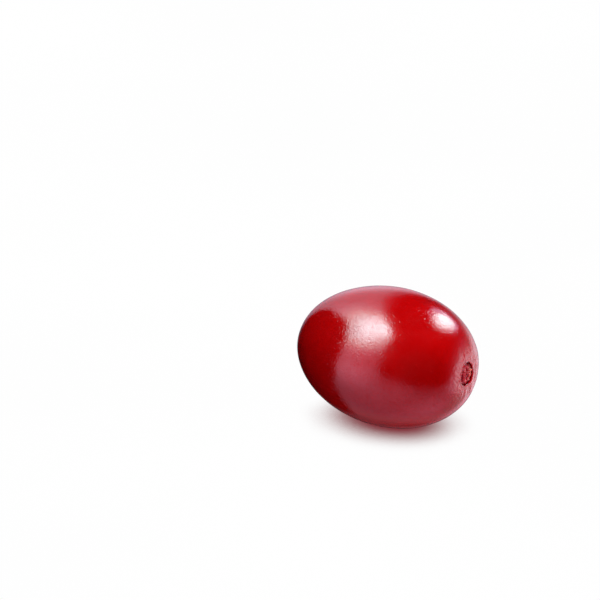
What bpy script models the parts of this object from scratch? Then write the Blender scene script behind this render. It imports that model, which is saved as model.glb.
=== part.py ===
"""A ripe cornelian cherry, picked without its stalk and lying on its side.

The fruit is one solid, an egg-shaped drupe. Lengths are metres and +Z is up. +X runs
along the fruit to the end where the stalk came off, and the origin is on the table
surface below the middle of the fruit.
"""

import math

import bpy
from mathutils import Vector

MM = 0.001

# The body: an ellipsoid made fuller towards the stalk end and slimmer towards the other,
# with its stalk end bent up a little.
HALF_WIDTH = 7.0 * MM
HALF_LENGTH = 9.74 * MM
EGG_LEAN = 0.041
EGG_FULLNESS = 0.017
STALK_RISE = 0.155 * MM

# No fruit is quite round: each swell is (size, ridges around, twist along, start in radians).
SWELLS = (
    (0.0095, 2, 0.0, 2.09),
    (0.0038, 3, 1.4, 2.60),
    (0.0031, 5, -2.2, 1.80),
)

# What it lies on: how much of the roundness underneath is pressed flat.
FLAT_DEPTH = 0.15 * MM

# The stalk end: a shallow dish, and in it the pit that the stalk left.
DISH_DEPTH = 0.53 * MM
DISH_RADIUS = 1.90 * MM
SCAR_RADIUS = 1.175 * MM
SCAR_WALL = 0.09 * MM
SCAR_DEPTH = 0.34 * MM
SCAR_WAVES = ((0.045, 2, 0.3), (0.030, 3, 1.9), (0.018, 5, 4.0))
WAVES_END = 2.6 * MM
LIP_HEIGHT = 0.040 * MM
LIP_RADIUS = 1.38 * MM
LIP_WIDTH = 0.18 * MM
LIP_WAVES = ((0.4, 2, 1.0),)

# The torn tissue that stands in the pit, with a groove all around it.
PLUG_RADIUS = 1.00 * MM
PLUG_SLOPE = 0.18 * MM
PLUG_HEIGHT = 0.23 * MM
PLUG_EDGE_WAVES = ((0.05, 3, 2.2), (0.03, 5, 0.4))

# The crumbs on the plug are low waves, each shorter than the last and turned from it.
CRUMB_WAVES = 5
CRUMB_HEIGHT = 0.065 * MM
CRUMB_LENGTH = 0.95 * MM
CRUMB_SHORTENING = 0.5
CRUMB_LOWERING = 0.4
CRUMB_TURN = 2.4
CRUMB_SHIFT = 1.7

# Clefts in the plug: (turn, how far in from the edge as a share, curl in radians per mm).
CLEFTS = ((0.35, 0.75, 0.5), (2.75, 0.45, -0.8), (4.45, 0.95, 0.7))
CLEFT_DEPTH = 0.15 * MM
CLEFT_WIDTH = 0.080 * MM

# The hole that the stalk's strands left, a little off the middle.
STRAND_HOLE_PLACE = (0.14 * MM, -0.10 * MM)
STRAND_HOLE_DEPTH = 0.20 * MM
STRAND_HOLE_RADIUS = 0.17 * MM

# Faint folds of the skin that run out from the pit.
FOLD_HEIGHT = 0.022 * MM
FOLD_COUNT = 12
FOLD_WANDER = ((0.9, 3, -math.pi / 2.0),)
FOLD_START = 1.30 * MM
FOLD_MIDDLE = 1.70 * MM
FOLD_END = 3.10 * MM

# The flower end: a small round scar with the stub of the style in its middle.
CALYX_DISH_DEPTH = 0.16 * MM
CALYX_DISH_RADIUS = 1.30 * MM
CALYX_RADIUS = 0.78 * MM
CALYX_GROOVE_DEPTH = 0.075 * MM
CALYX_GROOVE_WIDTH = 0.085 * MM
CALYX_WAVES = ((0.05, 4, 0.6),)
STYLE_HEIGHT = 0.13 * MM
STYLE_RADIUS = 0.16 * MM

# The mesh: points around the fruit and along it, set closer together at both ends.
POINTS_AROUND = 72
RINGS_ALONG = 64
END_CROWDING = 0.80

SKIN_COLOUR = (0.46, 0.004, 0.006, 1.0)
SKIN_ROUGHNESS = 0.22


def fade(value, start, end):
    """A smooth step that is 0 up to start and 1 past end."""
    share = min(max((value - start) / (end - start), 0.0), 1.0)
    return share * share * (3.0 - 2.0 * share)


def bump(value, middle, width):
    """A soft bump, 1 at its middle."""
    return math.exp(-(((value - middle) / width) ** 2))


def crowded(share):
    """Moves evenly spaced rings towards both ends: a share of 0 to 1 in, the same out."""
    return share - END_CROWDING * math.sin(math.tau * share) / math.tau


def uneven(along, turn):
    """How much wider than a true round the fruit is, at a place from -1 to 1 along it."""
    extra = 0.0
    for size, ridges, twist, start in SWELLS:
        extra += size * math.cos(ridges * turn + twist * along + start)
    return 1.0 + extra


def body_radius(along, turn):
    """The skin's distance from the long axis before the ends get their scars."""
    ellipse = math.sqrt(max(1.0 - along * along, 0.0))
    egg = 1.0 + EGG_LEAN * along + EGG_FULLNESS * along**3
    return HALF_WIDTH * ellipse * egg * uneven(along, turn)


def turn_apart(first, second):
    """The smaller angle between two turns."""
    return abs((first - second + math.pi) % math.tau - math.pi)


def waves_at(waves, turn):
    """The sum of waves that run around the fruit, each (size, count, start in radians)."""
    return sum(size * math.cos(count * turn + start) for size, count, start in waves)


def crumbs(across, up):
    """The unevenness of the torn tissue at a place on the end of the fruit."""
    height = 0.0
    for number in range(CRUMB_WAVES):
        heading = CRUMB_TURN * number
        length = CRUMB_LENGTH / (1.0 + CRUMB_SHORTENING * number)
        travel = across * math.cos(heading) + up * math.sin(heading)
        size = CRUMB_HEIGHT / (1.0 + CRUMB_LOWERING * number)
        height += size * math.sin(math.tau * travel / length + CRUMB_SHIFT * number)
    return height


def plug_relief(radius, turn):
    """The height of the torn tissue above the floor of the pit."""
    across = radius * math.cos(turn)
    up = radius * math.sin(turn)
    height = PLUG_HEIGHT + crumbs(across, up)
    for middle, reach, curl in CLEFTS:
        aside = radius * turn_apart(turn, middle + curl * radius / MM)
        inner = PLUG_RADIUS * (1.0 - reach)
        opened = fade(radius, inner, inner + 2.0 * CLEFT_WIDTH)
        height -= CLEFT_DEPTH * bump(aside, 0.0, CLEFT_WIDTH) * opened
    from_hole = math.hypot(across - STRAND_HOLE_PLACE[0], up - STRAND_HOLE_PLACE[1])
    height -= STRAND_HOLE_DEPTH * bump(from_hole, 0.0, STRAND_HOLE_RADIUS)
    edge = PLUG_RADIUS * (1.0 + waves_at(PLUG_EDGE_WAVES, turn))
    return height * (1.0 - fade(radius, edge - PLUG_SLOPE, edge))


def stalk_end(radius, turn):
    """The new radius at the stalk end, and how far the skin lies below the plain egg shape."""
    depth = DISH_DEPTH * bump(radius, 0.0, DISH_RADIUS)
    lip = LIP_HEIGHT * (1.0 + waves_at(LIP_WAVES, turn))
    depth -= lip * bump(radius, LIP_RADIUS, LIP_WIDTH)
    depth += SCAR_DEPTH * (1.0 - fade(radius, SCAR_RADIUS - SCAR_WALL, SCAR_RADIUS))
    depth -= plug_relief(radius, turn)
    folds = math.cos(FOLD_COUNT * turn + waves_at(FOLD_WANDER, turn))
    folded = fade(radius, FOLD_START, FOLD_MIDDLE) * (1.0 - fade(radius, FOLD_MIDDLE, FOLD_END))
    depth -= FOLD_HEIGHT * folds * folded
    waved = 1.0 - fade(radius, SCAR_RADIUS, WAVES_END)
    return radius * (1.0 + waves_at(SCAR_WAVES, turn) * waved), depth


def flower_end(radius, turn):
    """The same for the flower end."""
    depth = CALYX_DISH_DEPTH * bump(radius, 0.0, CALYX_DISH_RADIUS)
    depth += CALYX_GROOVE_DEPTH * bump(radius, CALYX_RADIUS, CALYX_GROOVE_WIDTH)
    depth -= STYLE_HEIGHT * bump(radius, 0.0, STYLE_RADIUS)
    waved = bump(radius, CALYX_RADIUS, CALYX_RADIUS / 2.0)
    return radius * (1.0 + waves_at(CALYX_WAVES, turn) * waved), depth


def skin_point(end_angle, turn):
    """The place of the skin at an angle from the stalk end and a turn around the long axis."""
    along = math.cos(end_angle)
    radius = body_radius(along, turn)
    shape_end = stalk_end if along > 0.0 else flower_end
    radius, depth = shape_end(radius, turn)
    x = HALF_LENGTH * along - math.copysign(depth, along)
    z = radius * math.sin(turn) + STALK_RISE * max(along, 0.0) ** 3
    return Vector((x, radius * math.cos(turn), max(z, FLAT_DEPTH - HALF_WIDTH)))


def clear_scene():
    for thing in list(bpy.data.objects):
        bpy.data.objects.remove(thing, do_unlink=True)


def skin_material():
    material = bpy.data.materials.new("ripe_skin")
    material.use_nodes = True
    shader = material.node_tree.nodes["Principled BSDF"]
    shader.inputs["Base Color"].default_value = SKIN_COLOUR
    shader.inputs["Roughness"].default_value = SKIN_ROUGHNESS
    shader.inputs["Metallic"].default_value = 0.0
    return material


def shape_fruit(mesh):
    """Moves each point of a sphere, whose poles are on X, to its place on the fruit."""
    for vertex in mesh.vertices:
        across = math.hypot(vertex.co.y, vertex.co.z)
        share = math.atan2(across, vertex.co.x) / math.pi
        turn = math.atan2(vertex.co.z, vertex.co.y)
        vertex.co = skin_point(math.pi * crowded(share), turn)


def stand_on_origin(mesh):
    """Puts the middle of the fruit's underside at the origin."""
    low = Vector(min(vertex.co[axis] for vertex in mesh.vertices) for axis in range(3))
    high = Vector(max(vertex.co[axis] for vertex in mesh.vertices) for axis in range(3))
    middle = (low + high) / 2.0
    middle.z = low.z
    for vertex in mesh.vertices:
        vertex.co -= middle


def make_fruit(collection):
    bpy.ops.mesh.primitive_uv_sphere_add(
        segments=POINTS_AROUND,
        ring_count=RINGS_ALONG,
        radius=HALF_WIDTH,
        rotation=(0.0, math.pi / 2.0, 0.0),
    )
    fruit = bpy.context.object
    bpy.ops.object.transform_apply(location=False, rotation=True, scale=False)
    fruit.name = "fruit"
    fruit.data.name = "fruit"
    shape_fruit(fruit.data)
    stand_on_origin(fruit.data)
    fruit.data.shade_smooth()
    fruit.data.materials.append(skin_material())
    for holder in list(fruit.users_collection):
        holder.objects.unlink(fruit)
    collection.objects.link(fruit)
    return fruit


def main():
    clear_scene()
    collection = bpy.data.collections.new("cornelian_cherry")
    bpy.context.scene.collection.children.link(collection)
    make_fruit(collection)


main()
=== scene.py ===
import math
import random

import bpy
from mathutils import Euler, Matrix, Quaternion, Vector, noise


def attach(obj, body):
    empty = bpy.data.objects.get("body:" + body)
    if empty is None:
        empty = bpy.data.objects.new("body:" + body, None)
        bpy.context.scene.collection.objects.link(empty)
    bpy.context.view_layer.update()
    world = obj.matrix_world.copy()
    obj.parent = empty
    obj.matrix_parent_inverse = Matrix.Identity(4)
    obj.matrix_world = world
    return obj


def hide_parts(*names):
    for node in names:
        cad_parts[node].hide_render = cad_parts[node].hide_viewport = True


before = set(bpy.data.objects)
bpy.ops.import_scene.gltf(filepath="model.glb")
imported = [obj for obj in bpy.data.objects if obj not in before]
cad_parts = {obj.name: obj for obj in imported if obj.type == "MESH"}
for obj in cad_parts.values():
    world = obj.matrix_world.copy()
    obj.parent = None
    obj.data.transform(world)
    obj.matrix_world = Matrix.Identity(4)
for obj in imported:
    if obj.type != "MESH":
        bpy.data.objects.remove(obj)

# A ripe cornelian cherry on a white table. The dictionaries give lengths in millimetres:
# every piece is modelled a thousand times its size round the middle of the egg, so that the
# remesh and the merge distances have room, and is shrunk to metres when it is settled.

mm = 0.001
eggMiddle = Vector((0.196, 0.0, 6.85)) * mm     # where the middle of the egg lies over the table
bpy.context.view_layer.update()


# small helpers for modelling

def deselectAll():
    for thing in bpy.context.selected_objects:
        thing.select_set(False)


def pick(thing):
    deselectAll()
    thing.select_set(True)
    bpy.context.view_layer.objects.active = thing


def applyModifier(piece, kind, **settings):
    pick(piece)
    bpy.ops.object.modifier_add(type=kind)
    modifier = piece.modifiers[-1]
    for key, value in settings.items():
        setattr(modifier, key, value)
    bpy.ops.object.modifier_apply(modifier=modifier.name)


def selectFaces(piece, wanted):
    bpy.ops.mesh.select_mode(type="FACE")
    bpy.ops.mesh.select_all(action="DESELECT")
    bpy.ops.object.mode_set(mode="OBJECT")
    for face in piece.data.polygons:
        face.select = wanted(face)
    bpy.ops.object.mode_set(mode="EDIT")


def raiseFaces(along, aside=0.0):
    bpy.ops.mesh.extrude_region_move(TRANSFORM_OT_translate={"value": (along, aside, aside)})


def narrowFaces(share):
    bpy.ops.transform.resize(value=(1.0, share, share))


def copyAt(original, matrix):
    copy = original.copy()
    copy.data = original.data.copy()
    bpy.context.collection.objects.link(copy)
    copy.matrix_world = matrix
    return copy


def joinInto(first, others):
    # the update lets the new copies take up their places
    bpy.context.view_layer.update()
    pick(first)
    for other in others:
        other.select_set(True)
    bpy.ops.object.join()


def settle(piece, name, finish):
    # shrinks a piece to its real size, puts it in its place and gives it its finish
    piece.name = name
    piece.data.name = name
    pick(piece)
    piece.scale = (mm, mm, mm)
    piece.location = eggMiddle
    bpy.ops.object.transform_apply(location=True, rotation=True, scale=True)
    bpy.ops.object.shade_smooth()
    piece.data.materials.clear()
    piece.data.materials.append(finish)
    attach(piece, "root")
    print(name, "settled,", len(piece.data.polygons), "faces")


def fadeIn(value, start, end):
    share = min(max((value - start) / (end - start), 0.0), 1.0)
    return share * share * (3.0 - 2.0 * share)


def hump(value, middle, width):
    return math.exp(-(((value - middle) / width) ** 2))


def wavesAt(waves, turn):
    return sum(size * math.cos(count * turn + start) for size, count, start in waves)


# helpers for materials

# a ramp stretches what lies between these two values of a noise to 0 and 1
softSpread = (0.30, 0.70)
firmSpread = (0.35, 0.65)


def newFinish(name):
    finish = bpy.data.materials.new(name)
    finish.use_nodes = True
    return finish, finish.node_tree, finish.node_tree.nodes["Principled BSDF"]


def feed(tree, socket, value):
    if isinstance(value, bpy.types.NodeSocket):
        tree.links.new(value, socket)
    else:
        socket.default_value = value


def maths(tree, operation, first, second=0.0):
    node = tree.nodes.new("ShaderNodeMath")
    node.operation = operation
    feed(tree, node.inputs[0], first)
    feed(tree, node.inputs[1], second)
    return node.outputs[0]


def times(tree, first, second):
    return maths(tree, "MULTIPLY", first, second)


def oneLess(tree, share):
    # what a share leaves of 1
    return maths(tree, "SUBTRACT", 1.0, share)


def ramp(tree, value, fromLow, fromHigh, toLow=0.0, toHigh=1.0):
    node = tree.nodes.new("ShaderNodeMapRange")
    node.interpolation_type = "SMOOTHSTEP"
    feed(tree, node.inputs["Value"], value)
    node.inputs["From Min"].default_value = fromLow
    node.inputs["From Max"].default_value = fromHigh
    node.inputs["To Min"].default_value = toLow
    node.inputs["To Max"].default_value = toHigh
    return node.outputs["Result"]


def blendColours(tree, share, first, second):
    node = tree.nodes.new("ShaderNodeMix")
    node.data_type = "RGBA"
    feed(tree, node.inputs["Factor"], share)
    feed(tree, node.inputs["A"], first)
    feed(tree, node.inputs["B"], second)
    return node.outputs["Result"]


def cloud(tree, vector, size, detail=2.0, roughness=0.5):
    # soft noise whose blobs are about size apart
    node = tree.nodes.new("ShaderNodeTexNoise")
    feed(tree, node.inputs["Vector"], vector)
    node.inputs["Scale"].default_value = 1.0 / size
    node.inputs["Detail"].default_value = detail
    node.inputs["Roughness"].default_value = roughness
    return node.outputs["Fac"]


def dots(tree, vector, size):
    # the distance to the nearest of many scattered points, in spacings
    node = tree.nodes.new("ShaderNodeTexVoronoi")
    feed(tree, node.inputs["Vector"], vector)
    node.inputs["Scale"].default_value = 1.0 / size
    return node.outputs["Distance"]


def closeTo(tree, vector, middle, reach):
    # 1 at a place on the fruit, fading to 0 at its reach
    node = tree.nodes.new("ShaderNodeVectorMath")
    node.operation = "DISTANCE"
    tree.links.new(vector, node.inputs[0])
    node.inputs[1].default_value = middle
    return ramp(tree, node.outputs["Value"], reach, 0.2 * reach)


def millimetres(tree):
    # the place on the piece, in millimetres from the middle of the egg
    place = tree.nodes.new("ShaderNodeTexCoord").outputs["Object"]
    mapping = tree.nodes.new("ShaderNodeMapping")
    mapping.vector_type = "POINT"
    mapping.inputs["Location"].default_value = -eggMiddle / mm
    mapping.inputs["Scale"].default_value = (1.0 / mm,) * 3
    tree.links.new(place, mapping.inputs["Vector"])
    return mapping.outputs["Vector"]


def splitPlace(tree, place):
    node = tree.nodes.new("ShaderNodeSeparateXYZ")
    tree.links.new(place, node.inputs["Vector"])
    return node.outputs["X"], node.outputs["Y"], node.outputs["Z"]


def bumpFrom(tree, height, shader):
    # height is in millimetres
    node = tree.nodes.new("ShaderNodeBump")
    node.inputs["Strength"].default_value = 1.0
    node.inputs["Distance"].default_value = mm
    tree.links.new(height, node.inputs["Height"])
    tree.links.new(node.outputs["Normal"], shader.inputs["Normal"])


def grainOf(tree, place, sizes, detail, roughness=0.5):
    # a height for bumpFrom
    spacing, height = sizes
    return times(tree, cloud(tree, place, spacing, detail, roughness), height)


def shineThrough(tree, shader, dull, look):
    # moist flesh: it shines where it isn't dull and lets some light in
    gloss = times(tree, oneLess(tree, dull), look["gloss"])
    tree.links.new(gloss, shader.inputs["Specular IOR Level"])
    shader.inputs["IOR"].default_value = look["refraction"]
    shader.inputs["Subsurface Weight"].default_value = look["subsurface"]
    shader.inputs["Subsurface Radius"].default_value = look["subsurfaceReach"]
    shader.inputs["Subsurface Scale"].default_value = mm


# the skin: an egg that lies on its side, stalk end towards +X

skin = {
    "halfWidth": 7.0,
    "halfLength": 9.74,
    "lean": 0.041,                # fuller towards the stalk end
    "fullness": 0.017,
    "stalkRise": 0.155,           # the stalk end is bent up a little
    # how the roundness is uneven: size, ridges, twist along, start in radians
    "swells": ((0.0095, 2, 0.0, 2.09), (0.0038, 3, 1.4, 2.60), (0.0031, 5, -2.2, 1.80)),
    "flatDepth": 0.15,            # pressed flat where it rests
    "dishDepth": 0.53,
    "dishRadius": 1.90,
    "pitRadius": 1.150,
    "pitWall": 0.07,
    "pitDepth": 0.42,
    # waves round the rim: size, count, start in radians
    "pitWaves": ((-0.040, 2, 0.3), (0.030, 3, 1.9), (0.018, 5, 4.0), (0.012, 9, 1.1), (0.008, 14, 3.0)),
    "wavesEnd": 2.6,
    "lipHeight": 0.045,
    "lipRadius": 1.275,
    "lipWidth": 0.115,
    "lipWaves": ((0.4, 2, 1.0),),
    "foldHeight": 0.009,
    "foldSpan": (1.30, 1.70, 3.30),
    # share of the height, count, how far they wander and in how many swings
    "folds": ((1.0, 12.0, 0.9, 3.0), (0.5, 26.4, 1.7, 2.0)),
    "calyxDish": (0.16, 1.30),                     # depth and radius
    "calyxPit": (0.20, 0.86, 0.10),                # depth, radius and wall
    "ripples": ((0.010, 0.55), (0.0035, 1.5)),     # height and how many to a millimetre
    "puckers": ((0.040, 1.72), (0.026, 3.45)),     # the same close to the pit
    "puckerSpan": (1.4, 3.6),
    "pointsAround": 256,
    "weld": 0.0003,
    # how far along the skin from the middle of the pit, and the step between the rings there
    "ringSpacing": ((0.0, 0.09), (0.85, 0.05), (1.05, 0.018), (1.45, 0.022), (2.3, 0.06), (5.0, 0.13),
                    (11.0, 0.17), (18.0, 0.13), (21.5, 0.06), (22.6, 0.035), (23.6, 0.035), (24.6, 0.09)),
}


def unevenAt(along, turn):
    extra = 0.0
    for size, ridges, twist, start in skin["swells"]:
        extra += size * math.cos(ridges * turn + twist * along + start)
    return 1.0 + extra


def eggRadius(along, turn):
    ellipse = math.sqrt(max(1.0 - along * along, 0.0))
    egg = 1.0 + skin["lean"] * along + skin["fullness"] * along ** 3
    return skin["halfWidth"] * ellipse * egg * unevenAt(along, turn)


def stalkDepth(radius, turn):
    # how far the skin lies below the plain egg round the stalk's pit
    depth = skin["dishDepth"] * hump(radius, 0.0, skin["dishRadius"])
    lip = skin["lipHeight"] * (1.0 + wavesAt(skin["lipWaves"], turn))
    depth -= lip * hump(radius, skin["lipRadius"], skin["lipWidth"])
    rim = skin["pitRadius"]
    depth += skin["pitDepth"] * (1.0 - fadeIn(radius, rim - skin["pitWall"], rim))
    folds = sum(share * math.cos(count * turn + wander * math.sin(swings * turn))
                for share, count, wander, swings in skin["folds"])
    start, middle, end = skin["foldSpan"]
    folded = fadeIn(radius, start, middle) * (1.0 - fadeIn(radius, middle, end))
    return depth - skin["foldHeight"] * folds * folded


def calyxDepth(radius):
    deep, wide = skin["calyxDish"]
    depth = deep * hump(radius, 0.0, wide)
    deep, rim, wall = skin["calyxPit"]
    return depth + deep * (1.0 - fadeIn(radius, rim - wall, rim))


def skinPlace(angle, turn):
    along = math.cos(angle)
    radius = eggRadius(along, turn)
    if along > 0.0:
        depth = stalkDepth(radius, turn)
        waved = 1.0 - fadeIn(radius, skin["pitRadius"], skin["wavesEnd"])
        radius *= 1.0 + wavesAt(skin["pitWaves"], turn) * waved
        bend = skin["stalkRise"] * along ** 3
        puckered = 1.0 - fadeIn(radius, *skin["puckerSpan"])
    else:
        depth = -calyxDepth(radius)
        bend = 0.0
        puckered = 0.0
    place = Vector((skin["halfLength"] * along - depth, radius * math.cos(turn), radius * math.sin(turn)))
    outward = Vector((along / skin["halfLength"], math.cos(turn) * math.sin(angle) / skin["halfWidth"],
                      math.sin(turn) * math.sin(angle) / skin["halfWidth"])).normalized()
    for height, count in skin["ripples"]:
        place += outward * height * noise.noise(place * count)
    for height, count in skin["puckers"]:
        place += outward * puckered * height * noise.noise(place * count)
    place.z += bend
    place.z = max(place.z, skin["flatDepth"] - skin["halfWidth"])
    return place


def ringAngles():
    # the rings stand close together round both scars
    angles = [0.0]
    travelled = 0.0
    spacing = skin["ringSpacing"]
    while True:
        for (start, near), (end, far) in zip(spacing, spacing[1:]):
            if start <= travelled <= end:
                step = near + (far - near) * (travelled - start) / (end - start)
        angle = angles[-1]
        stretch = math.hypot(skin["halfLength"] * math.sin(angle), skin["halfWidth"] * math.cos(angle))
        angle += step / stretch
        if angle > math.pi - 0.5 * step / skin["halfWidth"]:
            break
        angles.append(angle)
        travelled += step
    return angles + [math.pi]


def makeSkin(finish):
    # a line of points is drawn from pole to pole, spun round the long axis, closed and sculpted
    halfLength, halfWidth = skin["halfLength"], skin["halfWidth"]
    line = [Vector((halfLength * math.cos(a), halfWidth * math.sin(a), 0.0)) for a in ringAngles()]
    line[-1].y = 0.0
    deselectAll()
    bpy.ops.mesh.primitive_plane_add(size=1.0, location=line[0])
    piece = bpy.context.object
    bpy.ops.object.transform_apply(location=True, rotation=False, scale=False)
    bpy.ops.object.mode_set(mode="EDIT")
    bpy.ops.mesh.merge(type="CENTER")
    for here, there in zip(line, line[1:]):
        bpy.ops.mesh.extrude_region_move(TRANSFORM_OT_translate={"value": there - here})
    bpy.ops.mesh.select_all(action="SELECT")
    bpy.ops.mesh.spin(steps=skin["pointsAround"], angle=math.tau,
                      center=(0.0, 0.0, 0.0), axis=(1.0, 0.0, 0.0))
    bpy.ops.mesh.select_all(action="SELECT")
    bpy.ops.mesh.remove_doubles(threshold=skin["weld"])
    bpy.ops.mesh.normals_make_consistent(inside=False)
    bpy.ops.object.mode_set(mode="OBJECT")
    for vertex in piece.data.vertices:
        across = math.hypot(vertex.co.y, vertex.co.z)
        angle = math.atan2(across / halfWidth, vertex.co.x / halfLength)
        vertex.co = skinPlace(angle, math.atan2(vertex.co.z, vertex.co.y))
    settle(piece, "fruitSkin", finish)
    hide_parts("fruit")


# the torn tissue that the stalk left in its pit

tissue = {
    "middle": (8.86, 0.0, 0.15),     # the floor of the pit
    "plugSides": 48,
    "plugRadius": 1.08,
    "plugLength": 0.5,
    "plugHeight": 0.25,              # how far it stands over the floor
    "plugRounding": 0.09,
    "voxel": 0.020,
    "relief": (("tissueLumps", 0.26, 0.11), ("tissueGrain", 0.11, 0.022)),    # size and height
    # crumbs: across to +Y, up, half width, half height, lift off the plug, turn in degrees
    "crumbs": (
        (0.46, 0.26, 0.26, 0.19, 0.21, 20),
        (0.56, -0.16, 0.30, 0.20, 0.17, -15),
        (0.27, -0.55, 0.24, 0.20, 0.13, 50),
        (0.62, -0.52, 0.17, 0.15, 0.06, 10),
        (0.24, 0.62, 0.22, 0.16, 0.12, 70),
        (0.70, 0.52, 0.13, 0.12, 0.03, 0),
        (-0.12, 0.80, 0.20, 0.12, 0.07, -10),
        (-0.40, 0.56, 0.23, 0.17, 0.12, 35),
        (-0.20, 0.32, 0.14, 0.12, 0.10, 80),
        (-0.60, 0.20, 0.22, 0.16, 0.07, 60),
        (-0.52, -0.22, 0.24, 0.19, 0.12, 85),
        (-0.72, -0.16, 0.13, 0.13, 0.02, 0),
        (-0.30, -0.58, 0.22, 0.16, 0.12, -40),
        (-0.60, -0.56, 0.17, 0.14, 0.03, 20),
        (-0.10, -0.86, 0.20, 0.11, 0.05, 5),
        (0.30, -0.87, 0.14, 0.09, 0.01, -20),
        (0.22, 0.02, 0.10, 0.16, 0.14, 10),
        (0.79, 0.00, 0.09, 0.15, 0.01, 0),
        (-0.06, 0.10, 0.15, 0.11, 0.03, 30),
        (0.05, -0.24, 0.17, 0.11, 0.05, -20),
        (-0.28, 0.02, 0.12, 0.16, 0.07, 15),
        (-0.86, 0.28, 0.12, 0.18, 0.01, 25),
    ),
    "crumbFlatness": 0.775,
    "crumbSink": 0.06,
    "crumbUnevenness": 0.11,
    "crumbLumps": (0.55, 1.7),       # height and how many to a radius
    "crumbSeed": 7,
    "turnSeed": 11,
}


def makeCrumb():
    # one uneven crumb, a millimetre in radius, that all the others are copies of
    deselectAll()
    bpy.ops.mesh.primitive_ico_sphere_add(subdivisions=4, radius=1.0)
    crumb = bpy.context.object
    bpy.ops.object.mode_set(mode="EDIT")
    bpy.ops.transform.vertex_random(offset=tissue["crumbUnevenness"], uniform=0.0, normal=1.0,
                                    seed=tissue["crumbSeed"])
    bpy.ops.mesh.vertices_smooth(factor=0.5, repeat=3)
    bpy.ops.object.mode_set(mode="OBJECT")
    height, count = tissue["crumbLumps"]
    for vertex in crumb.data.vertices:
        vertex.co *= 1.0 + height * noise.noise(vertex.co * count)
    return crumb


def makeTissue(finish):
    floor = Vector(tissue["middle"])
    deselectAll()
    middle = floor + Vector((tissue["plugHeight"] - tissue["plugLength"] / 2.0, 0.0, 0.0))
    bpy.ops.mesh.primitive_cylinder_add(vertices=tissue["plugSides"], radius=tissue["plugRadius"],
                                        depth=tissue["plugLength"], rotation=(0.0, math.pi / 2.0, 0.0),
                                        location=middle)
    plug = bpy.context.object
    bpy.ops.object.transform_apply(location=True, rotation=True, scale=False)
    bpy.ops.object.mode_set(mode="EDIT")
    bpy.ops.mesh.select_all(action="SELECT")
    bpy.ops.mesh.bevel(offset=tissue["plugRounding"], segments=3, affect="EDGES")
    bpy.ops.object.mode_set(mode="OBJECT")

    crumb = makeCrumb()
    crumbs = []
    chance = random.Random(tissue["turnSeed"])
    for across, up, halfWidth, halfHeight, lift, turn in tissue["crumbs"]:
        place = floor + Vector((tissue["plugHeight"] + lift - tissue["crumbSink"], across, up))
        own = Euler([chance.uniform(0.0, math.tau) for _ in range(3)]).to_matrix().to_4x4()
        flat = Matrix.Diagonal((tissue["crumbFlatness"] * halfHeight, halfWidth, halfHeight, 1.0))
        tilt = Matrix.Rotation(math.radians(turn), 4, "X")
        crumbs.append(copyAt(crumb, Matrix.Translation(place) @ tilt @ flat @ own))
    bpy.data.objects.remove(crumb, do_unlink=True)
    joinInto(plug, crumbs)
    applyModifier(plug, "REMESH", mode="VOXEL", voxel_size=tissue["voxel"])
    applyModifier(plug, "SMOOTH", iterations=2, factor=0.5)
    for name, size, height in tissue["relief"]:
        relief = bpy.data.textures.new(name, "CLOUDS")
        relief.noise_scale = size
        relief.noise_depth = 1
        applyModifier(plug, "DISPLACE", texture=relief, texture_coords="LOCAL", strength=height,
                      mid_level=0.5)
    settle(plug, "stalkTissue", finish)


# the ends of the stalk's strands in the hole of the tissue

strands = {
    "middle": (9.10, 0.03, 0.22),
    "sides": 10,
    "radius": 0.030,
    "root": 0.08,                    # the straight stretch that each starts with
    "length": 0.20,
    "bends": (0.010, 0.016, -0.012),
    "taper": 0.86,
    "tipRim": 0.008,
    "tipHollow": 0.012,
    "sink": 0.12,
    # across, up, lean to +Y in degrees, lean up
    "places": ((-0.02, 0.02, 12, 25), (0.06, 0.05, -20, 10), (0.02, -0.06, 30, -25),
               (-0.07, -0.03, -30, -5), (0.10, -0.02, 8, -35), (-0.04, 0.09, -15, 30)),
}


def makeStrands(finish):
    deselectAll()
    bpy.ops.mesh.primitive_cylinder_add(vertices=strands["sides"], radius=strands["radius"],
                                        depth=strands["root"], end_fill_type="NGON",
                                        rotation=(0.0, math.pi / 2.0, 0.0))
    strand = bpy.context.object
    bpy.ops.object.transform_apply(location=False, rotation=True, scale=False)
    bpy.ops.object.mode_set(mode="EDIT")
    selectFaces(strand, lambda face: face.normal.x > 0.9)
    for bend in strands["bends"]:
        raiseFaces(strands["length"] / len(strands["bends"]), bend)
        narrowFaces(strands["taper"])
    bpy.ops.mesh.inset(thickness=strands["tipRim"])
    raiseFaces(-strands["tipHollow"])
    bpy.ops.object.mode_set(mode="OBJECT")
    root = Vector(strands["middle"]) - Vector((strands["sink"], 0.0, 0.0))
    copies = []
    for across, up, sideways, upward in strands["places"]:
        aside = Matrix.Rotation(math.radians(sideways), 4, "Z")
        raised = Matrix.Rotation(math.radians(-upward), 4, "Y")
        spot = Matrix.Translation(root + Vector((0.0, across, up)))
        copies.append(copyAt(strand, spot @ aside @ raised))
    bpy.data.objects.remove(strand, do_unlink=True)
    piece = copies[0]
    joinInto(piece, copies[1:])
    applyModifier(piece, "SUBSURF", levels=1, render_levels=1)
    settle(piece, "stalkStrands", finish)


# the small scar at the other end, with the stub of the style

calyx = {
    "middle": (-9.38, 0.0, 0.0),
    "sides": 40,
    "radius": 0.74,
    "thickness": 0.30,
    # from the rim to the tip of the style: inset, narrowed to, raised by
    "steps": ((0.07, 1.0, 0.09), (0.10, 1.0, -0.07), (0.12, 1.0, 0.0), (0.18, 0.75, 0.10),
              (0.0, 0.80, 0.10), (0.03, 1.0, -0.03)),
    "lumps": ((0.080, 0.040, 0.040), 4.0, (5.0, 1.0, 2.0)),    # size, how many to a millimetre, start
    "crust": (0.032, 11.0),
}


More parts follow.
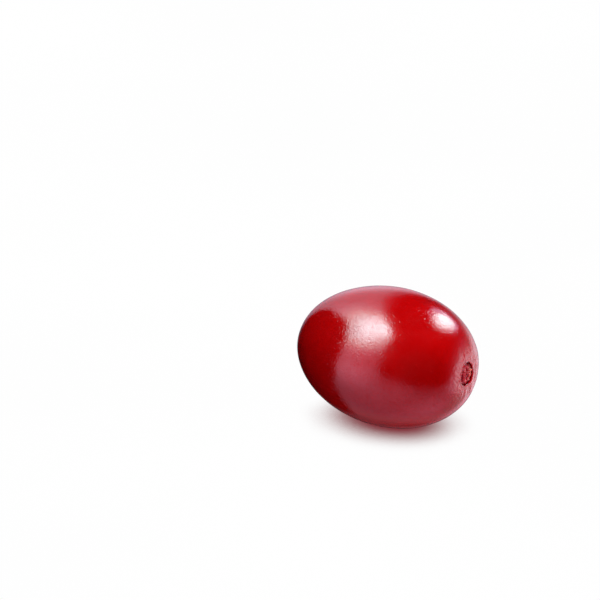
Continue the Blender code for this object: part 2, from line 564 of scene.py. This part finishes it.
def makeCalyx(finish):
    deselectAll()
    bpy.ops.mesh.primitive_cylinder_add(vertices=calyx["sides"], radius=calyx["radius"],
                                        depth=calyx["thickness"], rotation=(0.0, -math.pi / 2.0, 0.0),
                                        location=calyx["middle"])
    piece = bpy.context.object
    bpy.ops.object.transform_apply(location=True, rotation=True, scale=False)
    bpy.ops.object.mode_set(mode="EDIT")
    selectFaces(piece, lambda face: face.normal.x < -0.9)
    for inset, share, rise in calyx["steps"]:
        if inset:
            bpy.ops.mesh.inset(thickness=inset)
        if share < 1.0:
            narrowFaces(share)
        if rise:
            raiseFaces(-rise)
    bpy.ops.object.mode_set(mode="OBJECT")
    applyModifier(piece, "SUBSURF", levels=2, render_levels=2)
    size, count, start = calyx["lumps"]
    crustHeight, crustCount = calyx["crust"]
    for vertex in piece.data.vertices:
        vertex.co += Vector(size) * noise.noise(vertex.co * count + Vector(start))
        vertex.co.x += crustHeight * noise.noise(vertex.co * crustCount)
    settle(piece, "flowerScar", finish)


# finishes

skinFinish = {
    "deepRed": (0.330, 0.0006, 0.0012, 1.0),
    "brightRed": (0.370, 0.0010, 0.0016, 1.0),
    "patchSize": 4.5,
    # painted shade and painted light: a darker patch on the front towards the stalk end and a lighter
    # patch on the middle of the front: place, reach, colour
    "paintedShadeAndLightPatches": (((7.1, -4.6, 1.0), 4.2, (0.285, 0.0005, 0.0010, 1.0)),
                 ((0.2, -6.6, 1.8), 3.4, (0.435, 0.0012, 0.0020, 1.0))),
    "paleSpeck": (0.420, 0.0060, 0.0080, 1.0),
    "speckSpacing": 0.85,
    "speckSize": (0.16, 0.05),
    "speckShare": 0.35,
    # lighter red round both scars: partly the skin's own colour there, partly a painted highlight along
    # the stalk pit's lip
    "rimPinkAndHighlight": (0.480, 0.0060, 0.0090, 1.0),
    "rimShare": 0.8,
    "rimEnds": (7.8, 8.9),           # where it starts and is full, along the fruit to both ends
    "rimReach": (3.2, 1.3),          # the same, off the long axis
    # painted shade: the wall and floor of the stalk's pit are darker red
    "pitPaintedShade": (0.135, 0.0006, 0.0030, 1.0),
    "pitReach": (1.30, 1.22),
    "pitTop": (9.30, 9.21),
    "pitFloor": (8.0, 8.5),
    "pitDullness": 0.8,
    "roughness": (0.08, 0.13),
    "sheenSize": 1.3,
    "refraction": 1.45,
    "gloss": 0.5,
    "subsurface": 0.6,
    "subsurfaceReach": (3.0, 0.20, 0.15),
    "poreSpacing": 0.24,
    "poreWidth": 0.38,
    "poreDepth": 0.0078,
    "poreShares": (0.50, 1.2),       # the depth of the shallow and of the deep ones
    "poreGroups": 0.9,
    "grain": (0.22, 0.0150),         # spacing and height
    "dotSpacing": 0.22,
    "dotSize": (0.44, 0.18),
    "dotDullness": 0.60,
    "closeGrain": (0.15, 0.030),     # only close to the pit
    "closeReach": (3.6, 1.4),
    "closeAlong": (6.5, 8.5),
}


def skinMaterial():
    finish, tree, shader = newFinish("tautRedSkin")
    place = millimetres(tree)
    x, y, z = splitPlace(tree, place)
    patches = ramp(tree, cloud(tree, place, skinFinish["patchSize"], 3.0, 0.55), *softSpread)
    colour = blendColours(tree, patches, skinFinish["deepRed"], skinFinish["brightRed"])
    # painted shade and painted light: one patch darkens the red, the other lightens it
    for middle, reach, paintedRed in skinFinish["paintedShadeAndLightPatches"]:
        colour = blendColours(tree, closeTo(tree, place, middle, reach), colour, paintedRed)
    specks = ramp(tree, dots(tree, place, skinFinish["speckSpacing"]), *skinFinish["speckSize"])
    specks = times(tree, specks, skinFinish["speckShare"])
    colour = blendColours(tree, specks, colour, skinFinish["paleSpeck"])

    # how far off the long axis, which bends up a little towards the pit
    up = maths(tree, "SUBTRACT", z, ramp(tree, x, 0.0, 9.0, 0.0, skin["stalkRise"]))
    offAxis = maths(tree, "SQRT", maths(tree, "ADD", times(tree, y, y), times(tree, up, up)))
    # lighter red round the scars, partly a painted highlight along the lip
    rim = times(tree, ramp(tree, maths(tree, "ABSOLUTE", x), *skinFinish["rimEnds"]),
                ramp(tree, offAxis, *skinFinish["rimReach"]))
    colour = blendColours(tree, times(tree, rim, skinFinish["rimShare"]), colour, skinFinish["rimPinkAndHighlight"])
    # painted shade down in the stalk's pit; the same pit mask also dulls the gloss there
    inPit = times(tree, ramp(tree, offAxis, *skinFinish["pitReach"]), ramp(tree, x, *skinFinish["pitTop"]))
    pitShade = times(tree, inPit, ramp(tree, x, *skinFinish["pitFloor"]))
    colour = blendColours(tree, pitShade, colour, skinFinish["pitPaintedShade"])
    tree.links.new(colour, shader.inputs["Base Color"])
    sheen = cloud(tree, place, skinFinish["sheenSize"], 2.0)
    tree.links.new(ramp(tree, sheen, *softSpread, *skinFinish["roughness"]), shader.inputs["Roughness"])

    # fine dull dots, which show best where the skin shines
    close = times(tree, ramp(tree, offAxis, *skinFinish["closeReach"]),
                  ramp(tree, x, *skinFinish["closeAlong"]))
    dull = ramp(tree, dots(tree, place, skinFinish["dotSpacing"]), *skinFinish["dotSize"],
                0.0, skinFinish["dotDullness"])
    dull = times(tree, dull, oneLess(tree, close))
    dull = maths(tree, "MAXIMUM", dull, times(tree, inPit, skinFinish["pitDullness"]))
    shineThrough(tree, shader, dull, skinFinish)

    # pores and a fine grain, and a coarser one on the puckers close to the pit
    pores = ramp(tree, dots(tree, place, skinFinish["poreSpacing"]), skinFinish["poreWidth"], 0.0)
    groups = cloud(tree, place, skinFinish["poreGroups"], 1.0)
    pores = times(tree, pores, ramp(tree, groups, *firmSpread, *skinFinish["poreShares"]))
    height = times(tree, pores, -skinFinish["poreDepth"])
    height = maths(tree, "ADD", height, grainOf(tree, place, skinFinish["grain"], 1.0))
    closeGrain = times(tree, grainOf(tree, place, skinFinish["closeGrain"], 1.0), close)
    bumpFrom(tree, maths(tree, "ADD", height, closeGrain), shader)
    return finish


tissueFinish = {
    "mottleSize": 0.28,
    "redFlesh": (0.420, 0.0120, 0.0280, 1.0),
    "pinkFlesh": (0.460, 0.0420, 0.0620, 1.0),
    "tanFlesh": (0.460, 0.0800, 0.0480, 1.0),
    "tanSide": (0.20, 0.60),                 # where it starts and is full, across to +Y
    "tanWander": 1.2,
    # painted highlight: paler on the highest tips of the tissue
    "paleTipHighlight": (0.640, 0.1700, 0.1600, 1.0),
    "tipHighlights": (0.10, 0.22),                    # over the top of the plug
    "tipSize": 0.12,
    "tipSpread": (0.45, 0.65),
    # painted shade: the side of the tissue behind the near lip
    "paintedLipShadow": (0.270, 0.0030, 0.0120, 1.0),
    "darkAcross": (-0.42, -0.74),
    "darkUp": (0.60, 0.30),
    "darkDullness": 0.8,
    # painted shade: lower down among the crumbs
    "cleftPaintedShade": (0.260, 0.0014, 0.0080, 1.0),
    "clefts": (0.07, -0.04),                 # over the top of the plug
    "roughness": (0.34, 0.60),
    "refraction": 1.36,
    "gloss": 0.5,
    "subsurface": 0.4,
    "subsurfaceReach": (0.6, 0.08, 0.06),
    "grain": (0.05, 0.005),
}


def tissueMaterial():
    finish, tree, shader = newFinish("tornTissue")
    place = millimetres(tree)
    x, y, z = splitPlace(tree, place)
    mottle = cloud(tree, place, tissueFinish["mottleSize"], 3.0, 0.6)
    colour = blendColours(tree, ramp(tree, mottle, *firmSpread), tissueFinish["redFlesh"],
                          tissueFinish["pinkFlesh"])
    wander = times(tree, maths(tree, "SUBTRACT", mottle, 0.5), tissueFinish["tanWander"])
    side = ramp(tree, maths(tree, "ADD", y, wander), *tissueFinish["tanSide"])
    colour = blendColours(tree, side, colour, tissueFinish["tanFlesh"])
    # painted highlight: the highest tips of the tissue are paler
    top = tissue["middle"][0] + tissue["plugHeight"]
    start, full = tissueFinish["tipHighlights"]
    tipHighlights = times(tree, ramp(tree, x, top + start, top + full),
                 ramp(tree, cloud(tree, place, tissueFinish["tipSize"], 2.0), *tissueFinish["tipSpread"]))
    colour = blendColours(tree, tipHighlights, colour, tissueFinish["paleTipHighlight"])

    # painted shade: darker and duller along the side that the near lip shades, and darker red lower down
    # in the clefts
    lipShadow = times(tree, ramp(tree, y, *tissueFinish["darkAcross"]), ramp(tree, z, *tissueFinish["darkUp"]))
    colour = blendColours(tree, lipShadow, colour, tissueFinish["paintedLipShadow"])
    start, full = tissueFinish["clefts"]
    deep = ramp(tree, x, top + start, top + full)
    colour = blendColours(tree, deep, colour, tissueFinish["cleftPaintedShade"])
    tree.links.new(colour, shader.inputs["Base Color"])
    dull = maths(tree, "MAXIMUM", deep, times(tree, lipShadow, tissueFinish["darkDullness"]))
    shineThrough(tree, shader, dull, tissueFinish)
    tree.links.new(ramp(tree, mottle, *softSpread, *tissueFinish["roughness"]), shader.inputs["Roughness"])
    bumpFrom(tree, grainOf(tree, place, tissueFinish["grain"], 2.0, 0.6), shader)
    return finish


strandFinish = {
    "redBrown": (0.150, 0.0120, 0.0080, 1.0),
    "tan": (0.380, 0.1000, 0.0450, 1.0),
    "mottleSize": 0.06,
    "roughness": (0.65, 0.45),
    "grain": (0.02, 0.003),
}


def strandMaterial():
    finish, tree, shader = newFinish("stalkStrands")
    place = millimetres(tree)
    share = ramp(tree, cloud(tree, place, strandFinish["mottleSize"], 2.0), *firmSpread)
    colour = blendColours(tree, share, strandFinish["redBrown"], strandFinish["tan"])
    tree.links.new(colour, shader.inputs["Base Color"])
    tree.links.new(ramp(tree, share, 0.0, 1.0, *strandFinish["roughness"]), shader.inputs["Roughness"])
    bumpFrom(tree, grainOf(tree, place, strandFinish["grain"], 1.0), shader)
    return finish


calyxFinish = {
    "darkBrown": (0.030, 0.0080, 0.0050, 1.0),
    "redBrown": (0.120, 0.0160, 0.0100, 1.0),
    "mottleSize": 0.22,
    "cork": (0.230, 0.1000, 0.0500, 1.0),
    "corkStart": (-9.50, -9.62),             # on what stands out past this
    "corkSpread": (0.40, 0.60),
    "roughness": (0.50, 0.72),
    "gloss": 0.2,
    "grain": (0.06, 0.012),
}


def calyxMaterial():
    finish, tree, shader = newFinish("driedFlowerScar")
    place = millimetres(tree)
    along = splitPlace(tree, place)[0]
    mottle = cloud(tree, place, calyxFinish["mottleSize"], 3.0, 0.6)
    colour = blendColours(tree, ramp(tree, mottle, *firmSpread), calyxFinish["darkBrown"],
                          calyxFinish["redBrown"])
    raised = times(tree, ramp(tree, along, *calyxFinish["corkStart"]),
                   ramp(tree, mottle, *calyxFinish["corkSpread"]))
    colour = blendColours(tree, raised, colour, calyxFinish["cork"])
    tree.links.new(colour, shader.inputs["Base Color"])
    tree.links.new(ramp(tree, mottle, *softSpread, *calyxFinish["roughness"]), shader.inputs["Roughness"])
    shader.inputs["Specular IOR Level"].default_value = calyxFinish["gloss"]
    bumpFrom(tree, grainOf(tree, place, calyxFinish["grain"], 2.0, 0.6), shader)
    return finish


makeSkin(skinMaterial())
makeTissue(tissueMaterial())
makeStrands(strandMaterial())
makeCalyx(calyxMaterial())
print("fruit done")


# the camera, where the photograph was taken from

photoView = {
    "azimuth": 32.0,
    "elevation": 22.5,
    "distance": 350.0,
    "lens": 211.05,
    "sensor": 36.0,
    "clip": (0.01, 20.0),   # in metres
    "aside": -8.634,        # the picture's middle, seen from the middle of the egg
    "above": 5.611,
    "roll": -0.5716,
}

azimuth = math.radians(photoView["azimuth"])
elevation = math.radians(photoView["elevation"])
toCamera = Vector((math.sin(azimuth) * math.cos(elevation), -math.cos(azimuth) * math.cos(elevation),
                   math.sin(elevation)))
cameraRight = Vector((math.cos(azimuth), math.sin(azimuth), 0.0))
cameraAway = Vector((-math.sin(azimuth), math.cos(azimuth), 0.0))
cameraUp = toCamera.cross(cameraRight)


def makeCamera():
    lens = bpy.data.cameras.new("camera")
    lens.lens = photoView["lens"]
    lens.sensor_width = photoView["sensor"]
    lens.clip_start, lens.clip_end = photoView["clip"]
    camera = bpy.data.objects.new("camera", lens)
    bpy.context.collection.objects.link(camera)
    camera.location = eggMiddle + toCamera * photoView["distance"] * mm
    target = eggMiddle + (cameraRight * photoView["aside"] + cameraUp * photoView["above"]) * mm
    level = (target - camera.location).to_track_quat("-Z", "Y")
    rolled = level @ Quaternion((0.0, 0.0, 1.0), math.radians(photoView["roll"]))
    camera.rotation_euler = rolled.to_euler()
    bpy.context.scene.camera = camera


# The studio: a white table under a tent, whose windows are soft lights in the world. A direction
# is degrees to the right of straight away from the camera and degrees up. A glow or a shade is
# strength, tightness and direction. A span holds the values where something starts and is full.

studio = {
    "room": 0.003,
    "tentGlows": ((2.35, 1.743, -92.5, 80.0), (16.5, 22.3, -111.2, 43.7), (0.80, 30.0, -4.0, 8.0),
                  (1.559, 12.11, -113.5, -5.5)),
    "tentNormal": (-80.2, -15.7),         # the tent covers all that lies on this side
    "tentEdge": 0.14,
    "hatch": 18.5,                        # the brightest place of the tent
    "hatchPlace": (-121.5, 65.7),
    "hatchTurn": -2.1,
    "hatchSize": (0.513, 0.259),
    "hatchEdge": 1.094,
    "tentFront": -52.1,                   # its front edge stands upright, square to this
    "tentFrontEdge": 0.14,
    "window": 20.5,
    "windowPlace": (46.9, 39.8),
    "windowTurn": 51.2,
    "windowSize": (0.335, 0.166),
    "windowEdge": 2.0,
    "sideGlows": ((2.8, 15.0, 80.0, -13.0), (1.05, 22.0, 38.0, -12.0)),
    "sideShades": ((0.50, 40.0, 103.0, -6.0), (0.20, 60.0, 26.0, -20.0), (0.48, 34.0, -6.0, -58.0)),
    "cornerPlace": (-62.8, -8.3),         # the unlit corner that the left end mirrors
    "cornerTurn": 31.4,
    "cornerSize": (0.592, 0.788),
    "cornerEdge": 0.05,
    "floor": 0.323,
    "floorLean": (-41.4, -54.8),
    "floorEdge": (-0.272, 0.118),
    "floorGlows": ((4.965, 24.7, 112.0, -9.9), (1.615, 20.68, 29.7, -27.8),
                   (0.556, 12.40, 134.9, -64.6), (0.474, 11.73, -153.2, -37.1)),
    "floorShades": ((1.0, 7.58, -9.2, -24.5), (1.0, 60.0, 2.1, -51.6)),
    "outlineShades": ((1.0, 45.0, 0.0, -28.0), (1.0, 18.0, -25.0, -33.0)),
    "horizonSpan": (0.06, -0.10),
    "cool": (0.99, 0.93, 1.15, 1.0),
    "cooler": (1.45, 0.92, 1.36, 1.0),
    "coolSide": (-170.0, -50.0),
    "coolSpan": (-0.3, 0.9),
    "dimmest": (1.00, 0.92, 1.40, 1.0),
    "dimmestSpan": (0.7, 0.1),
    # round the window, low at the right, and the red that the table throws back: colour, place, span
    "tints": (((1.00, 0.92, 1.65, 1.0), (45.0, 25.0), (0.80, 0.95)),
              ((1.17, 0.95, 1.07, 1.0), (45.0, -24.0), (0.65, 0.92)),
              ((1.52, 0.80, 1.00, 1.0), (-8.0, -48.0), (0.72, 0.95))),
    "white": (1.0, 1.0, 1.0, 1.0),
    "whiteSpan": (1.5, 8.0),
    "brightest": (0.76, 1.0, 1.05, 1.0),
    "brightestSpan": (5.0, 14.0),
    # name, strength in watts, size, distance, direction
    "lamps": (("topLamp", 8.7, 900.0, 700.0, 60.0, 78.0), ("frontLamp", 6.2, 900.0, 700.0, 180.0, 20.0),
              ("bounceLamp", 5.6, 900.0, 700.0, 60.0, -60.0)),
    "tableSize": 6.0,                           # in metres, like its grain
    "tableGrain": 0.05,
    "tableStrength": (0.2, 0.8, 0.99, 1.0),     # the grain's spread, and the strengths it is ramped to
    "tableWhite": (1.0, 1.0, 1.0, 1.0),
    "tableShade": (0.22, 0.025, 0.035, 1.0),    # painted shadow: the red shade that the fruit throws under itself
    "shadeSamples": 16,
    "shadeReach": 13.0,
    "shadeSpan": (0.04, 0.62),
}


def heading(aside, upward):
    # a direction in the room: aside in degrees to the right of straight away from the camera
    aside, upward = math.radians(aside), math.radians(upward)
    return (cameraRight * math.sin(aside) * math.cos(upward)
            + cameraAway * math.cos(aside) * math.cos(upward)
            + Vector((0.0, 0.0, math.sin(upward))))


def lean(tree, view, direction):
    # how much the view leans towards a direction, 1 straight at it
    node = tree.nodes.new("ShaderNodeVectorMath")
    node.operation = "DOT_PRODUCT"
    tree.links.new(view, node.inputs[0])
    node.inputs[1].default_value = direction
    return node.outputs["Value"]


def glow(tree, view, strength, tightness, aside, upward):
    close = maths(tree, "SUBTRACT", lean(tree, view, heading(aside, upward)), 1.0)
    return times(tree, maths(tree, "EXPONENT", times(tree, close, tightness)), strength)


def glows(tree, view, group, light):
    for one in group:
        light = maths(tree, "ADD", light, glow(tree, view, *one))
    return light


def shaded(tree, view, group, light):
    for one in group:
        light = times(tree, light, oneLess(tree, glow(tree, view, *one)))
    return light


def offCentre(tree, view, place, turn, size):
    # how far off the middle of an oval the view is, squared, 1 on its rim,
    # and a share that leaves out the same oval on the opposite side
    middle = heading(*place)
    level = Vector((0.0, 0.0, 1.0)).cross(middle).normalized() * -1.0
    upright = level.cross(middle).normalized()
    if upright.z < 0.0:
        upright.negate()
    turn = math.radians(turn)
    longWay = level * math.cos(turn) + upright * math.sin(turn)
    shortWay = upright * math.cos(turn) - level * math.sin(turn)
    squares = []
    for direction, half in zip((longWay, shortWay), size):
        off = maths(tree, "DIVIDE", lean(tree, view, direction), half)
        squares.append(times(tree, off, off))
    facing = ramp(tree, lean(tree, view, middle), 0.0, 0.1)
    return maths(tree, "ADD", squares[0], squares[1]), facing


def softWindow(tree, off, facing, edge, strength):
    fall = maths(tree, "EXPONENT", times(tree, maths(tree, "POWER", off, edge), -1.0))
    return times(tree, fall, times(tree, facing, strength))


def makeStudio():
    world = bpy.data.worlds.new("studio")
    bpy.context.scene.world = world
    world.use_nodes = True
    tree = world.node_tree
    background = tree.nodes["Background"]
    view = tree.nodes.new("ShaderNodeTexCoord").outputs["Generated"]

    # the tent over the left half
    edge = studio["tentEdge"] / 2.0
    covered = ramp(tree, lean(tree, view, heading(*studio["tentNormal"])), -edge, edge)
    edge = studio["tentFrontEdge"] / 2.0
    behindFront = ramp(tree, lean(tree, view, heading(studio["tentFront"], 0.0)), -edge, edge)
    off, facing = offCentre(tree, view, studio["hatchPlace"], studio["hatchTurn"], studio["hatchSize"])
    hatch = softWindow(tree, off, facing, studio["hatchEdge"], studio["hatch"])
    light = glows(tree, view, studio["tentGlows"], hatch)
    light = times(tree, light, times(tree, covered, behindFront))

    # the floor that the lower half of the skin mirrors
    below = ramp(tree, lean(tree, view, heading(*studio["floorLean"])), *studio["floorEdge"])
    floor = glows(tree, view, studio["floorGlows"], studio["floor"])
    floor = shaded(tree, view, studio["floorShades"], floor)
    horizon = ramp(tree, lean(tree, view, (0.0, 0.0, 1.0)), *studio["horizonSpan"])
    light = maths(tree, "ADD", light, times(tree, floor, times(tree, below, horizon)))
    light = shaded(tree, view, studio["outlineShades"], light)

    # an unlit corner leaves the left end dark
    off, facing = offCentre(tree, view, studio["cornerPlace"], studio["cornerTurn"], studio["cornerSize"])
    edge = studio["cornerEdge"]
    corner = times(tree, facing, ramp(tree, off, 1.0 + edge, 1.0 - edge))
    light = times(tree, light, oneLess(tree, corner))

    # the window at the right is longer than wide and turned
    off, facing = offCentre(tree, view, studio["windowPlace"], studio["windowTurn"], studio["windowSize"])
    window = softWindow(tree, off, facing, studio["windowEdge"], studio["window"])
    light = maths(tree, "ADD", light, window)
    light = glows(tree, view, studio["sideGlows"], light)
    light = shaded(tree, view, studio["sideShades"], light)
    light = maths(tree, "ADD", light, studio["room"])

    # its colour, by direction and by strength; the camera itself sees plain white
    cool = ramp(tree, lean(tree, view, heading(*studio["coolSide"])), *studio["coolSpan"])
    colour = blendColours(tree, cool, studio["cool"], studio["cooler"])
    dim = ramp(tree, light, *studio["dimmestSpan"])
    colour = blendColours(tree, dim, colour, studio["dimmest"])
    for tint, place, span in studio["tints"]:
        near = ramp(tree, lean(tree, view, heading(*place)), *span)
        colour = blendColours(tree, near, colour, tint)
    for name in ("white", "brightest"):
        strong = ramp(tree, light, *studio[name + "Span"])
        colour = blendColours(tree, strong, colour, studio[name])
    seen = tree.nodes.new("ShaderNodeLightPath").outputs["Is Camera Ray"]
    colour = blendColours(tree, seen, colour, studio["white"])
    light = maths(tree, "ADD", times(tree, light, oneLess(tree, seen)), seen)
    tree.links.new(light, background.inputs["Strength"])
    tree.links.new(colour, background.inputs["Color"])
    world.cycles_visibility.diffuse = False      # the lamps light the colour, the windows only the gloss


def makeLamps():
    for name, strength, size, distance, aside, upward in studio["lamps"]:
        light = bpy.data.lights.new(name, "AREA")
        light.shape = "DISK"
        light.size = size * mm
        light.energy = strength
        lamp = bpy.data.objects.new(name, light)
        bpy.context.collection.objects.link(lamp)
        direction = heading(aside, upward)
        lamp.location = eggMiddle + direction * distance * mm
        lamp.rotation_euler = direction.to_track_quat("Z", "Y").to_euler()
        lamp.visible_camera = False
        lamp.visible_glossy = False


def makeTable():
    deselectAll()
    bpy.ops.mesh.primitive_plane_add(size=studio["tableSize"])
    table = bpy.context.object
    table.name = "whiteTable"
    finish, tree, shader = newFinish("whiteTable")
    place = tree.nodes.new("ShaderNodeTexCoord").outputs["Object"]
    fine = ramp(tree, cloud(tree, place, studio["tableGrain"], 2.0), *studio["tableStrength"])
    # the table glows by itself; the shadow under the fruit is painted from how much of the room the fruit
    # hides
    hidden = tree.nodes.new("ShaderNodeAmbientOcclusion")
    hidden.samples = studio["shadeSamples"]
    hidden.inputs["Distance"].default_value = studio["shadeReach"] * mm
    lit = ramp(tree, hidden.outputs["AO"], *studio["shadeSpan"])
    colour = blendColours(tree, lit, studio["tableShade"], studio["tableWhite"])
    shader.inputs["Base Color"].default_value = (0.0, 0.0, 0.0, 1.0)
    shader.inputs["Specular IOR Level"].default_value = 0.0
    tree.links.new(colour, shader.inputs["Emission Color"])
    tree.links.new(fine, shader.inputs["Emission Strength"])
    table.data.materials.append(finish)
    table.visible_glossy = False
    table.visible_diffuse = False
    table.visible_shadow = False


makeCamera()
makeStudio()
makeLamps()
makeTable()
bpy.context.scene.view_settings.view_transform = "Standard"
print("studio ready")
